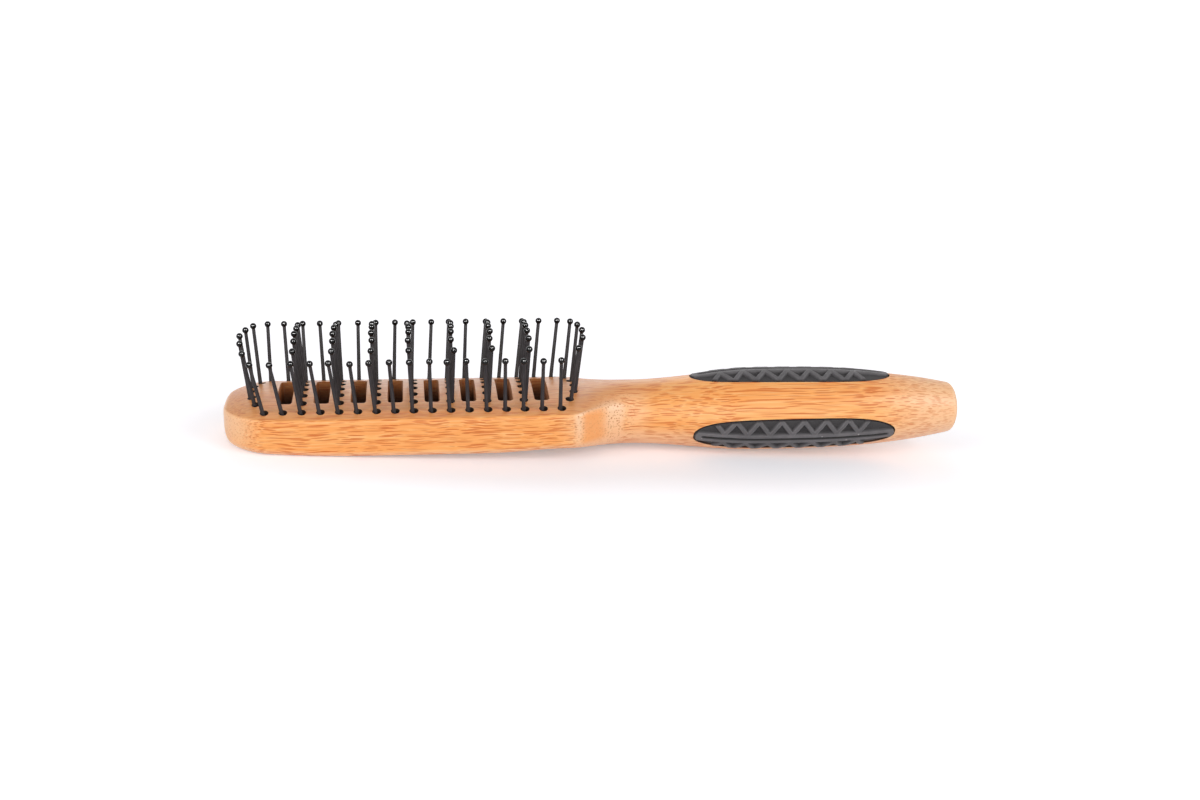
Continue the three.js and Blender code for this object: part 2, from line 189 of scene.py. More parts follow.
def shoulder_sweep(x):
    """Share of the sweep from head to neck: a parabola at each end, straight between them."""
    along = min(max(0, x - HEAD_LENGTH), SHOULDER_LENGTH)
    left = SHOULDER_LENGTH - along
    slope = 1 / (SHOULDER_LENGTH - (SHOULDER_CORNER + SHOULDER_FILLET) / 2)
    if along < SHOULDER_CORNER:
        return slope * along**2 / (2 * SHOULDER_CORNER)
    if left < SHOULDER_FILLET:
        return 1 - slope * left**2 / (2 * SHOULDER_FILLET)
    return slope * (along - SHOULDER_CORNER / 2)


def nose_dip(x):
    return NOSE_DIP * max(0, 1 - x / NOSE_DIP_LENGTH) ** 2


def axis_z(x):
    return -AXIS_DEPTH - HANDLE_DROP * np.maximum(0, (x - NECK_X) / HANDLE_LENGTH)


def handle_radius(x):
    swell = smoothstep(x, NECK_X, BELLY_X)
    taper = np.maximum(0, (x - BELLY_X) / (LENGTH - BELLY_X)) ** BUTT_TAPER
    full = (NECK_DIAMETER + (BELLY_DIAMETER - NECK_DIAMETER) * swell) / 2
    return full - taper * (BELLY_DIAMETER - BUTT_DIAMETER) / 2


HANDLE_STATIONS = np.linspace(NECK_X, LENGTH, 201)
LOWEST = min(axis_z(x) - handle_radius(x) for x in HANDLE_STATIONS)
PLACE = np.array((-LENGTH / 2, 0, -LOWEST))

# Steps over the crown, top edge, side, back edge and back of each half section, and the angles
# from the top at which those stretches meet on the round handle
STRETCH_STEPS = (30, 6, 12, 16, 10)
ROUND_ANGLES = np.radians((0, 52, 70, 105, 158, 180))

# Sections along the wood: their distance on long stretches, and how many there are on the others
STATION = 1 * MM
NOSE_STATIONS = 25
SHOULDER_STATIONS = 36
DOME_STATIONS = 13


def slab_half(x):
    """The five stretches of half a section of the head, each as a curve over t from 0 to 1."""
    from_middle = min(1, abs(2 * x / HEAD_LENGTH - 1))
    half = HEAD_WIDTH / 2 - HEAD_BARREL * from_middle**2 - round_in(x, NOSE_RADIUS)
    top = -nose_dip(x) - round_in(x, TOP_EDGE)
    lift = NOSE_LIFT * max(0, 1 - x / NOSE_LIFT_LENGTH) ** 2
    rise = BACK_RISE * smoothstep(x, HEAD_LENGTH - BACK_RISE_LENGTH, HEAD_LENGTH)
    back = -HEAD_THICKNESS + lift + rise + round_in(x, BACK_EDGE)
    under = min(BACK_EDGE, half / 2)
    edge_y = half - TOP_EDGE
    edge_z = top - CROWN_RADIUS + math.sqrt((CROWN_RADIUS - TOP_EDGE) ** 2 - edge_y**2)
    crown_angle = math.asin(edge_y / (CROWN_RADIUS - TOP_EDGE))

    def arc(y, z, radius, angle):
        return np.column_stack((y + radius * np.sin(angle), z + radius * np.cos(angle)))

    def line(a, b, t):
        return np.outer(1 - t, a) + np.outer(t, b)

    return (
        lambda t: arc(0, top - CROWN_RADIUS, CROWN_RADIUS, t * crown_angle),
        lambda t: arc(edge_y, edge_z, TOP_EDGE, crown_angle + t * (math.pi / 2 - crown_angle)),
        lambda t: line((half, edge_z), (half, back + under), t),
        lambda t: arc(half - under, back + under, under, (1 + t) * math.pi / 2),
        lambda t: line((half - under, back), (0, back), t),
    )


def wood_ring(x):
    """Section of the wood: the slab of the head, the round handle, or a blend of the two."""
    dome = math.sqrt(min(1, (LENGTH - x) / BUTT_DOME))
    radius = dome * (handle_radius(x) - round_in(LENGTH - BUTT_DOME - x, BUTT_EDGE))
    blend = shoulder_sweep(x)
    half = []
    for k, (stretch, steps) in enumerate(zip(slab_half(x), STRETCH_STEPS)):
        t = np.arange(steps + (k == len(STRETCH_STEPS) - 1)) / steps
        angle = ROUND_ANGLES[k] + t * (ROUND_ANGLES[k + 1] - ROUND_ANGLES[k])
        rounded = np.column_stack((radius * np.sin(angle), axis_z(x) + radius * np.cos(angle)))
        half.append((1 - blend) * stretch(t) + blend * rounded)
    half = np.vstack(half)
    ring = np.vstack((half * (-1, 1), half[-2:0:-1]))
    return np.column_stack((np.full(len(ring), x), ring))


def wood_stations():
    """Where the sections lie, closer together at the nose, the shoulders and the butt."""
    quarter = 1 - np.cos(np.linspace(0, math.pi / 2, NOSE_STATIONS))
    nose = quarter * NOSE_RADIUS
    head = np.arange(NOSE_RADIUS + STATION, HEAD_LENGTH, STATION)
    shoulder = np.linspace(HEAD_LENGTH, NECK_X, SHOULDER_STATIONS)
    handle = np.arange(NECK_X + STATION, LENGTH - BUTT_DOME - BUTT_EDGE, STATION)
    butt = LENGTH - BUTT_DOME - quarter[-2::-2] * BUTT_EDGE
    dome = LENGTH - BUTT_DOME * np.linspace(1, 0, DOME_STATIONS)[1:-1] ** 2
    return np.concatenate((nose, head, shoulder, handle, butt, dome))


# Meshes


def loft(rings, caps=None):
    """Points and faces of a closed loft through rings of as many points each."""
    rings = np.asarray(rings)
    count = rings.shape[1]
    ends = caps if caps is not None else (rings[0].mean(0), rings[-1].mean(0))
    points = np.vstack((rings.reshape(-1, 3), ends))
    start, end = len(points) - 2, len(points) - 1
    last = (len(rings) - 1) * count
    faces = []
    for j in range(count):
        after = (j + 1) % count
        faces.append((start, after, j))
        for near in range(0, last, count):
            far = near + count
            faces.append((near + j, near + after, far + after, far + j))
        faces.append((end, last + j, last + after))
    return points, faces


def mesh_object(name, points, faces, place=PLACE):
    """A smooth object with its normals outwards."""
    mesh = bpy.data.meshes.new(name)
    mesh.from_pydata((np.asarray(points) + place).tolist(), [], faces)
    work = bmesh.new()
    work.from_mesh(mesh)
    bmesh.ops.recalc_face_normals(work, faces=work.faces)
    work.to_mesh(mesh)
    work.free()
    mesh.shade_smooth()
    obj = bpy.data.objects.new(name, mesh)
    bpy.context.collection.objects.link(obj)
    return obj


def joined(name, shapes):
    """One object of several shapes that lie apart."""
    points, faces, start = [], [], 0
    for shape_points, shape_faces in shapes:
        points.append(shape_points)
        faces.extend(tuple(i + start for i in face) for face in shape_faces)
        start += len(shape_points)
    return mesh_object(name, np.vstack(points), faces)


# Pins


def pin_places():
    """Row, column, foot on the crown and direction of every pin."""
    for row in range(ROWS):
        for column in range(COLUMNS):
            if row not in (0, ROWS - 1) and column % 2:
                continue
            bow = END_BULGE * (1 - ((row - MIDDLE_ROW) / MIDDLE_ROW) ** 2)
            end = (column == COLUMNS - 1) - (column == 0)
            along = column * COLUMN_PITCH + end * bow - FIELD_LENGTH / 2
            row_lean = ROW_LEAN * (row - MIDDLE_ROW) / MIDDLE_ROW
            if 0 < row < ROWS - 1 and column > 0:
                row_lean = NECK_LEAN if along > 0 else NOSE_LEAN
            fan = FRONT_FAN if row == 0 and along > 0 else PIN_FAN
            lean = PIN_LEAN + row_lean + fan * along / (FIELD_LENGTH / 2)
            across = (row - MIDDLE_ROW) * ROW_ANGLE
            x = FIELD_NOSE_MARGIN + FIELD_LENGTH / 2 + along
            foot = Vector((
                x,
                CROWN_RADIUS * math.sin(across),
                CROWN_RADIUS * (math.cos(across) - 1) - nose_dip(x),
            ))
            way = Vector((
                math.sin(lean),
                math.cos(lean) * math.sin(across),
                math.cos(lean) * math.cos(across),
            ))
            yield row, column, foot, way


def lathe(profile, sides):
    """A closed turned shape from (radius, height) pairs, bottom to top, about the z axis."""
    turn = np.linspace(0, 2 * math.pi, sides, endpoint=False)
    rings = [
        np.column_stack((radius * np.cos(turn), radius * np.sin(turn), np.full(sides, height)))
        for radius, height in profile
    ]
    return loft(rings, ((0, 0, profile[0][1]), (0, 0, profile[-1][1])))


def turned(shape, foot, way):
    """A shape about the z axis, moved to a foot and turned along a direction."""
    points, faces = shape
    turn = np.array(way.to_track_quat("Z", "Y").to_matrix())
    return points @ turn.T + np.array(foot), faces


def pin_shape():
    """A straight root, a tapering shaft and a ball, with the foot at nought."""
    neck = math.asin(PIN_SHAFT_RADIUS / BALL_RADIUS)
    ball = [
        (BALL_RADIUS * math.sin(a), PIN_REACH + BALL_RADIUS * math.cos(a))
        for a in np.linspace(math.pi - neck, BALL_CAP, BALL_STEPS)
    ]
    shaft_top = ball[0][1] - BALL_NECK
    taper = PIN_SHAFT_RADIUS - PIN_ROOT_RADIUS
    root = [(PIN_ROOT_RADIUS, -PIN_DEPTH), (PIN_ROOT_RADIUS, 0)]
    shaft = [(PIN_ROOT_RADIUS + taper * t**PIN_TAPER, t * shaft_top) for t in SHAFT_SHARES]
    return lathe(root + shaft + ball, PIN_SIDES)


def hole_shape():
    """A drilled hole with a flared mouth."""
    depth = PIN_DEPTH + CLEARANCE
    mouth = HOLE_RADIUS + HOLE_FLARE
    profile = [
        (HOLE_RADIUS, -depth),
        (HOLE_RADIUS, -HOLE_FLARE - HOLE_SINK),
        (HOLE_RADIUS + 0.3 * HOLE_FLARE, -0.5 * HOLE_FLARE - HOLE_SINK),
        (mouth, -HOLE_SINK),
        (mouth, OVERCUT / 2),
    ]
    return lathe(profile, PIN_SIDES)


# Vents


def vent_outline(grow):
    """A rounded rectangle, grown outwards, as (x, y) pairs."""
    corner = VENT_CORNER + grow
    reach_x = VENT_WIDTH / 2 - VENT_CORNER
    reach_y = VENT_LENGTH / 2 - VENT_CORNER
    points = []
    for quarter, (sx, sy) in enumerate(((1, 1), (-1, 1), (-1, -1), (1, -1))):
        angles = np.linspace(quarter, quarter + 1, VENT_CORNER_STEPS) * math.pi / 2
        x = sx * reach_x + corner * np.cos(angles)
        y = sy * reach_y + corner * np.sin(angles)
        points.append(np.column_stack((x, y)))
    return np.vstack(points)


def vent_shape(x):
    """A slot through the head, with rounded lips that follow the crown and the flat back."""
    quarter = np.linspace(0, math.pi / 2, VENT_LIP_STEPS)
    lip = [(VENT_LIP * (1 - math.cos(a)), VENT_LIP * (1 - math.sin(a))) for a in quarter]
    rings = []
    for grow, depth in [(VENT_LIP, -OVERCUT)] + lip[::-1]:
        outline = vent_outline(grow)
        crown = np.sqrt(CROWN_RADIUS**2 - outline[:, 1] ** 2) - CROWN_RADIUS
        rings.append(np.column_stack((outline[:, 0] + x, outline[:, 1], crown - depth)))
    for grow, depth in lip + [(VENT_LIP, -OVERCUT)]:
        outline = vent_outline(grow)
        level = np.full(len(outline), depth - HEAD_THICKNESS)
        rings.append(np.column_stack((outline[:, 0] + x, outline[:, 1], level)))
    return loft(rings)


# Grips


def on_handle(x, angle, height):
    """Points at an angle round the axis and a height above the handle's surface."""
    radius = handle_radius(x) + height
    y = -radius * np.cos(angle)
    z = axis_z(x) + radius * np.sin(angle)
    return np.stack(np.broadcast_arrays(x, y, z), -1)


def grip_half_width(share):
    """Half the width of the lens, at a share of the way from its middle to a tip."""
    lens = GRIP_WIDTH / 2 * np.sqrt(1 - np.abs(share) ** GRIP_BLUNTNESS)
    return np.maximum(lens, GRIP_TIP_WIDTH / 2)


def grip_shares(count):
    """Stations from tip to tip, closer together at the tips."""
    t = np.linspace(-1, 1, count)
    return np.sign(t) * (1 - (1 - np.abs(t)) ** TIP_CROWDING)


def pocket_shape(angle):
    """What is cut out of the handle for a grip, with a bevelled lip."""
    rings = []
    for share in grip_shares(POCKET_STATIONS):
        x = GRIP_X + share * (GRIP_LENGTH / 2 + CLEARANCE)
        half = grip_half_width(share) + CLEARANCE
        across = np.linspace(-1, 1, POCKET_STEPS)
        low = [(half * v, -POCKET_DEPTH) for v in across]
        high = [((half + POCKET_LIP) * v, OVERCUT) for v in across[::-1]]
        right = [(half, -POCKET_LIP), (half + POCKET_LIP, 0)]
        left = [(-half - POCKET_LIP, 0), (-half, -POCKET_LIP)]
        section = np.array(low + right + high + left)
        rings.append(on_handle(x, angle + section[:, 0] / handle_radius(x), section[:, 1]))
    return loft(rings)


def band(distance, width, rounding):
    """One within half a width of a line, nought beyond it, with a rounded edge."""
    return 1 - smoothstep(distance, width / 2 - rounding, width / 2 + rounding)


def pad_relief(along, across, half):
    """How far the rubber stands above the wood, and how pale it is painted. The recesses are
    darker, partly as painted shade; the edge of the pad and the groove are darkened as painted
    shade.

    Ribs run in a zigzag on each side of a grooved spine."""
    side = np.abs(across)
    first = RIB_SHIFT - (RIB_TURNS - 1) / 2 * RIB_PITCH
    turn = np.clip(np.round((along - first) / RIB_PITCH), 0, RIB_TURNS - 1)
    from_turn = np.abs(along - first - turn * RIB_PITCH)
    slope = (GRIP_WIDTH / 2 - RIB_MARGIN - SPINE_WIDTH / 2) / (RIB_PITCH / 2)
    from_rib = np.abs(side - SPINE_WIDTH / 2 - slope * from_turn) / math.hypot(1, slope)
    rib = band(from_rib, RIB_WIDTH, RIB_ROUNDING)
    raised = np.maximum(rib, band(side, SPINE_WIDTH, RIB_ROUNDING))
    to_tip = GRIP_LENGTH / 2 - np.abs(along)
    groove = band(side, GROOVE_WIDTH, GROOVE_ROUNDING)
    groove = groove * smoothstep(to_tip, SPINE_WIDTH / 2, SPINE_WIDTH)
    top = RIB_HEIGHT + GRIP_CROWN * (half**2 - across**2) / (GRIP_WIDTH / 2) ** 2
    height = raised * (top + RECESS_DEPTH) - RECESS_DEPTH - GROOVE_DEPTH * groove
    inside = np.clip(np.minimum(half - side, to_tip) / PAD_EDGE, 0, 1)
    middle = band(from_rib, RIB_WIDTH - 2 * PALE_RIB_EDGE, PALE_RIB_EDGE / 2)
    middle = middle * (side > SPINE_WIDTH / 2)
    # Painted shade: nought in the recesses and at the edge of the pad, below nought in the groove
    painted_paleness = raised * (1 - MIDDLE_SHADE * middle) * (1 - groove) * inside - groove
    return height - PAD_EDGE * (1 - np.sqrt(1 - (1 - inside) ** 2)), painted_paleness


def pad_object(name, angle):
    """A ribbed pad, whose attribute "raised" says how pale the rubber is painted, darker as painted
    shade at its edge and groove and partly in its recesses.
    """
    across = np.linspace(-1, 1, PAD_STEPS)
    bottom = np.linspace(1, -1, PAD_FLOOR_STEPS)
    rings, painted_paleness = [], []
    for share in grip_shares(PAD_STATIONS):
        along = share * GRIP_LENGTH / 2
        x = GRIP_X + along
        half = grip_half_width(share)
        relief, raised = pad_relief(along, across * half, half)
        sides = np.concatenate((across, bottom)) * half
        heights = np.concatenate((relief, np.full(len(bottom), CLEARANCE - POCKET_DEPTH)))
        rings.append(on_handle(x, angle + sides / handle_radius(x), heights))
        painted_paleness.append(np.concatenate((raised, np.zeros(len(bottom)))))
    pad = mesh_object(name, *loft(rings))
    raised = pad.data.attributes.new("raised", "FLOAT", "POINT")
    raised.data.foreach_set("value", np.concatenate((*painted_paleness, (0, 0))))
    return pad


# Materials


def span(place, start, end):
    """A stretch that is given in millimetres from a place."""
    return place + start * MM, place + end * MM


MIDTONES = (0.3, 0.7)  # range of a noise over which one tone turns into another

# Stretches over which the wood changes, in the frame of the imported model
NECK = NECK_X + PLACE[0]
BUTT = PLACE[0] + LENGTH
CROWN = PLACE[2]
HANDLE_GRAIN = span(NECK, -8, 25)
STEEP_END = span(NECK, -12.5, -7.5)
SHOULDER_START = span(NECK, -26, -17)
SHOULDER_END = span(NECK, 1, 7)
BUTT_START = span(BUTT, -36, -8)
SIDE_FADE = span(CROWN, -15, -4)
# over which the painted shade on cut walls fades out towards the crown
SHADE_FADE = span(CROWN, -9, -1)

# Fibres: how they wander, and the lengths and thicknesses over which their marks repeat
BEND_SIZE = (11 * MM, 6 * MM, 6 * MM)
HEAD_BEND = 1.6 * MM
HANDLE_BEND = 0.7 * MM
HANDLE_STRETCH = -0.55  # past the neck, fibres are drawn out as their coordinate slows this much
TONE_SIZE = (60 * MM, 5 * MM, 3 * MM)
STREAK_SIZE = (14 * MM, 0.5 * MM, 0.5 * MM)
HAIR_SIZE = (5 * MM, 0.2 * MM, 0.2 * MM)
DASH_LAYERS = (
    ((12 * MM, 0.62 * MM, 0.62 * MM), (0, 0, 0)),
    ((9 * MM, 0.52 * MM, 0.52 * MM), (3, 5, 7)),
    ((15 * MM, 0.68 * MM, 0.68 * MM), (9, 2, 4)),
)
DOT_LAYER = ((0.9 * MM, 0.62 * MM, 0.62 * MM), (6, 1, 8))
DASH_EDGE = (0.35, 0.24)
DASH_STRENGTH = (0.0, 0.8, 0.4, 1.0)
DOT_EDGE = (0.42, 0.28)
DOT_STRENGTH = (0.1, 0.8, 0.35, 1.0)
UNDASHED = (0.3, 1.0)  # the dashes fade out over this range of cut wood
TONES = (0.35, 0.65)
PALE_STREAKS = (0.5, 0.68)
DARK_STREAKS = (0.46, 0.3)
HAIRS = (0.25, 0.75)
OILED_ROUGHNESS = (0.38, 0.28)
SCORCHED_ROUGHNESS = (0.75, 0.6)
WOOD_BUMP = 0.02 * MM

# Ranges of the normal's x and z over which the wood changes
CUT_TO_BUTT = (0.02, 0.3)
CUT_TO_NOSE = (-0.05, -0.7)
STEEP_FACING = (0.3, 0.56)
NOSE_TO_BUTT = (-0.1, 0.1)
CROWN_FACING = (0.76, 0.96)
TOP_FACING = (0.55, 0.95)
UNDER_FACING = (-0.05, -0.5)

# Colours of the wood, and the painted light and shade on it
HONEY = (1.0, 0.46, 0.135, 1)
AMBER = (0.97, 0.4, 0.105, 1)
PALE_STREAK = (1.0, 0.58, 0.24, 1)
DARK_STREAK = (0.88, 0.27, 0.045, 1)
# paler cut wood, partly a painted highlight
PALE_CUT_AND_HIGHLIGHT = (1.0, 0.64, 0.385, 1)
# painted shade on the steep part of the shoulders
STEEP_SHADE = (0.97, 0.38, 0.115, 1)
# painted light: paler wood where the surface faces down, as bounce light from the floor
UNDERSIDE_BOUNCE_LIGHT = (1.0, 0.6, 0.34, 1)
FIBRE = (0.68, 0.15, 0.014, 1)
FIBRE_END = (0.55, 0.15, 0.03, 1)
# painted shade on the top of the head
TOP_SHADE = (0.64, 0.25, 0.1, 1)
SEARED = (0.5, 0.14, 0.03, 1)
# painted shade deep in the vents
WALL_SHADE = (0.04, 0.012, 0.005, 1)
# painted shade in the holes and in the gaps round the grips
DEEP_SHADE = (0.014, 0.008, 0.006, 1)

# Colours and grain of the rubber
# colours of the recesses, partly painted shade
PIT = (0.017, 0.015, 0.016, 1)
PIT_GRAIN = (0.04, 0.036, 0.038, 1)
RIM = (0.11, 0.104, 0.108, 1)
DUSTY_RIM = (0.15, 0.141, 0.147, 1)
SPECK = (0.45, 0.43, 0.42, 1)
# painted shade in the groove
GROOVE_SHADE = (0.007, 0.006, 0.006, 1)
GRAIN_SIZE = (0.35 * MM,) * 3
DUST_SIZE = (5 * MM,) * 3
SPECK_SIZE = (3.2 * MM,) * 3
SPECK_EDGE = (0.09, 0.05)
GROOVE_DARK = (-0.2, -0.8)  # range of the attribute "raised" that marks the groove
RUBBER_ROUGHNESS = (0.62, 0.82)
RUBBER_SHEEN = 0.15
RUBBER_BUMP = 0.05 * MM
RUBBER_BUMP_STRENGTH = 0.7

# Grain of the nylon
DRAWN_SIZE = (0.5 * MM, 0.5 * MM, 6 * MM)
CLOUD_SIZE = (2 * MM,) * 3
NYLON_BUMP = 0.02 * MM


class Shader:
    """A material with one principled shader, and short ways to add nodes to it."""

    def __init__(self, name):
        self.material = bpy.data.materials.new(name)
        self.material.use_nodes = True
        self.tree = self.material.node_tree
        self.surface = self.tree.nodes["Principled BSDF"]

    def node(self, kind, inputs=(), **settings):
        made = self.tree.nodes.new(kind)
        for key, value in settings.items():
            setattr(made, key, value)
        for key, value in dict(inputs).items():
            self.put(made.inputs[key], value)
        return made

    def put(self, socket, value):
        if isinstance(value, bpy.types.NodeSocket):
            self.tree.links.new(value, socket)
        else:
            socket.default_value = value

    def set(self, **values):
        for key, value in values.items():
            self.put(self.surface.inputs[key.replace("_", " ")], value)

    def place(self):
        return self.node("ShaderNodeTexCoord").outputs["Object"]

    def math(self, operation, a, b=0.0, c=0.0):
        return self.node("ShaderNodeMath", {0: a, 1: b, 2: c}, operation=operation).outputs[0]

    def times(self, product, *factors):
        for factor in factors:
            product = self.math("MULTIPLY", product, factor)
        return product

    def larger(self, a, b):
        return self.math("MAXIMUM", a, b)

    def without(self, share):
        return self.math("SUBTRACT", 1.0, share)

    def step(self, value, start, end, low=0.0, high=1.0):
        inputs = {"Value": value, "From Min": start, "From Max": end, "To Min": low, "To Max": high}
        return self.node("ShaderNodeMapRange", inputs, interpolation_type="SMOOTHSTEP").outputs[0]

    def stretched(self, vector, sizes, shift=(0, 0, 0)):
        """Coordinates in which the given sizes, in metres, measure one."""
        scale = tuple(1 / size for size in sizes)
        inputs = {"Vector": vector, "Scale": scale, "Location": shift}
        return self.node("ShaderNodeMapping", inputs).outputs[0]

    def noise(self, vector, detail=2.0, roughness=0.5):
        inputs = {"Vector": vector, "Scale": 1.0, "Detail": detail, "Roughness": roughness}
        return self.node("ShaderNodeTexNoise", inputs).outputs["Fac"]

    def split(self, vector):
        return self.node("ShaderNodeSeparateXYZ", {"Vector": vector}).outputs

    def join(self, x, y, z):
        return self.node("ShaderNodeCombineXYZ", {0: x, 1: y, 2: z}).outputs[0]

    def sway(self, vector):
        """Three noises in one, between nought and one."""
        inputs = {"Vector": vector, "Scale": 1.0, "Detail": 1.0}
        return self.node("ShaderNodeTexNoise", inputs).outputs["Color"]

    def spindles(self, vector):
        """Distance to the nearest of scattered points, and a number of its own for each point."""
        made = self.node("ShaderNodeTexVoronoi", {"Vector": vector, "Scale": 1.0})
        return made.outputs["Distance"], self.split(made.outputs["Color"])[0]

    def mix(self, factor, a, b):
        # Inputs 6 and 7 of the node are its two colours
        node = self.node("ShaderNodeMix", data_type="RGBA")
        for index, value in ((0, factor), (6, a), (7, b)):
            self.put(node.inputs[index], value)
        return node.outputs[2]

    def bump(self, height, distance, strength=1.0):
        inputs = {"Height": height, "Distance": distance, "Strength": strength}
        return self.node("ShaderNodeBump", inputs).outputs["Normal"]


def along_fibres(s, place):
    """Coordinates that follow the fibres, and the share of the handle's grain.

    Fibres are short and wander in the head, and are longer and straighter in the handle."""
    x, y, z = s.split(place)
    handle = s.step(x, *HANDLE_GRAIN)
    past_neck = s.larger(s.math("SUBTRACT", x, NECK), 0.0)
    along = s.math("MULTIPLY_ADD", past_neck, HANDLE_STRETCH, x)
    reach = s.step(handle, 0.0, 1.0, HEAD_BEND, HANDLE_BEND)
    _, bend_y, bend_z = s.split(s.sway(s.stretched(place, BEND_SIZE)))
    across = s.math("MULTIPLY_ADD", s.math("SUBTRACT", bend_y, 0.5), reach, y)
    height = s.math("MULTIPLY_ADD", s.math("SUBTRACT", bend_z, 0.5), reach, z)
    return s.join(along, across, height), handle


def fibre_dashes(s, fibre):
    """Dark spindles along the fibres, in layers of several lengths."""
    dash = 0.0
    for sizes, shift in DASH_LAYERS:
        close, own = s.spindles(s.stretched(fibre, sizes, shift))
        layer = s.times(s.step(close, *DASH_EDGE), s.step(own, *DASH_STRENGTH))
        dash = s.larger(dash, layer)
    return dash


def fibre_dots(s, fibre):
    """Dark ends of fibres, where the wood is cut across."""
    close, own = s.spindles(s.stretched(fibre, *DOT_LAYER))
    return s.times(s.step(close, *DOT_EDGE), s.step(own, *DOT_STRENGTH))


def bamboo(name, shade_colour=None, unshaded_top=0.0):
    """Fibres run along x through the whole solid, so sides show streaks and cut ends show dots.

    On a cut wall, painted shade darkens the seared wood towards the bottom, and the given share of
    its top stays unshaded."""
    s = Shader(name)
    place = s.place()
    x, _, z = s.split(place)
    fibre, handle = along_fibres(s, place)
    facing_x, _, facing_z = s.split(s.node("ShaderNodeNewGeometry").outputs["Normal"])

    # The steep part of the shoulders is painted as dark as the sides, as painted shade, and the
    # wood on both sides of it is paler: partly paler cut wood, partly a painted highlight
    cut_across = s.larger(s.step(facing_x, *CUT_TO_BUTT), s.step(facing_x, *CUT_TO_NOSE))
    steep_shade = s.times(s.step(facing_x, *STEEP_FACING), s.step(x, *STEEP_END, 1.0, 0.0))
    shoulder = s.times(s.step(x, *SHOULDER_START), s.step(x, *SHOULDER_END, 1.0, 0.0))
    butt = s.step(x, *BUTT_START)
    pale = s.times(
        s.larger(cut_across, s.times(shoulder, 0.5)),
        s.without(steep_shade),
        s.step(z, *SIDE_FADE, 0.55, 1.0),
        s.step(facing_z, *CROWN_FACING, 1.0, 0.3),
        s.step(facing_x, *NOSE_TO_BUTT, 0.7, 1.0),
    )
    # The butt is painted paler as well, partly as painted light
    pale = s.larger(pale, s.times(butt, 0.75))
    # Painted shade: the top of the head is painted darker and duller than its sides
    shaded_head_top = s.times(s.step(facing_z, *TOP_FACING), s.without(handle))

    tone = s.noise(s.stretched(fibre, TONE_SIZE))
    streak = s.noise(s.stretched(fibre, STREAK_SIZE), roughness=0.6)
    hair = s.noise(s.stretched(fibre, HAIR_SIZE))
    cut_share = s.larger(cut_across, s.times(butt, 0.6))
    dash = s.times(fibre_dashes(s, fibre), s.step(cut_share, *UNDASHED, 1.0, 0.0))
    dotted = s.times(pale, s.step(facing_x, *NOSE_TO_BUTT, 0.55, 0.85))
    dot = s.times(fibre_dots(s, fibre), dotted, s.step(butt, 0.0, 1.0, 1.0, 0.35))

    colour = s.mix(s.step(tone, *TONES), HONEY, AMBER)
    for share, over in (
        (s.step(streak, *PALE_STREAKS, 0.0, 0.7), PALE_STREAK),
        (s.step(streak, *DARK_STREAKS, 0.0, 0.35), DARK_STREAK),
        (s.times(pale, 0.92), PALE_CUT_AND_HIGHLIGHT),
        (s.times(steep_shade, 0.9), STEEP_SHADE),
        # Painted light: faces that look down are paler, as if lit from the floor
        (s.step(facing_z, *UNDER_FACING, 0.0, 0.7), UNDERSIDE_BOUNCE_LIGHT),
        (s.times(dash, 0.9), FIBRE),
        (dot, FIBRE_END),
        (s.times(shaded_head_top, 0.52), TOP_SHADE),
    ):
        colour = s.mix(share, colour, over)
    rough = s.step(hair, *HAIRS, *OILED_ROUGHNESS)
    # Cut walls are seared redder, then painted shade darkens them towards the bottom
    if shade_colour:
        colour = s.mix(0.6, colour, SEARED)
        shade_share = s.step(z, *SHADE_FADE, 0.98, 1 - unshaded_top)
        shade_share = s.math("ADD", shade_share, s.step(hair, *MIDTONES, -0.06, 0.02))
        colour = s.mix(shade_share, colour, shade_colour)
        rough = s.step(hair, *HAIRS, *SCORCHED_ROUGHNESS)
    relief = s.math("SUBTRACT", s.times(hair, 0.5), s.larger(dash, dot))
    s.set(Base_Color=colour, Roughness=rough, Normal=s.bump(relief, WOOD_BUMP))
    return s.material


def rubber():
    """Dark and grainy in the recesses, partly as painted shade, dusty on the ribs, and nearly black
    in the groove as painted shade.
    """
    s = Shader("ribbed_rubber")
    place = s.place()
    raised = s.node("ShaderNodeAttribute", attribute_name="raised").outputs["Fac"]
    grain = s.noise(s.stretched(place, GRAIN_SIZE), detail=3.0, roughness=0.65)
    dust = s.noise(s.stretched(place, DUST_SIZE), detail=3.0)
    speck, _ = s.spindles(s.stretched(place, SPECK_SIZE))
    deep = s.mix(s.step(grain, *MIDTONES), PIT, PIT_GRAIN)
    rim = s.mix(s.step(dust, *MIDTONES), RIM, DUSTY_RIM)
    rim = s.mix(s.step(speck, *SPECK_EDGE, 0.0, 0.7), rim, SPECK)
    s.set(
        Base_Color=s.mix(s.step(raised, *GROOVE_DARK), s.mix(raised, deep, rim), GROOVE_SHADE),
        Roughness=s.step(grain, 0.2, 0.8, *RUBBER_ROUGHNESS),
        Sheen_Weight=RUBBER_SHEEN,
        Normal=s.bump(grain, RUBBER_BUMP, RUBBER_BUMP_STRENGTH),
    )
    return s.material


def warm_grey(level):
    """A grey with a trace of red."""
    return 1.06 * level, 0.96 * level, level, 1


def nylon(name, low, high, rough, gloss):
    """Drawn nylon between two greys."""
    s = Shader(name)
    place = s.place()
    drawn = s.noise(s.stretched(place, DRAWN_SIZE))
    cloud = s.noise(s.stretched(place, CLOUD_SIZE))
    s.set(
        Base_Color=s.mix(s.step(drawn, *MIDTONES), warm_grey(low), warm_grey(high)),
        Roughness=s.step(cloud, *MIDTONES, 0.8 * rough, 1.2 * rough),
        Specular_IOR_Level=gloss,
        Normal=s.bump(drawn, NYLON_BUMP, 0.5 * rough),
    )
    return s.material


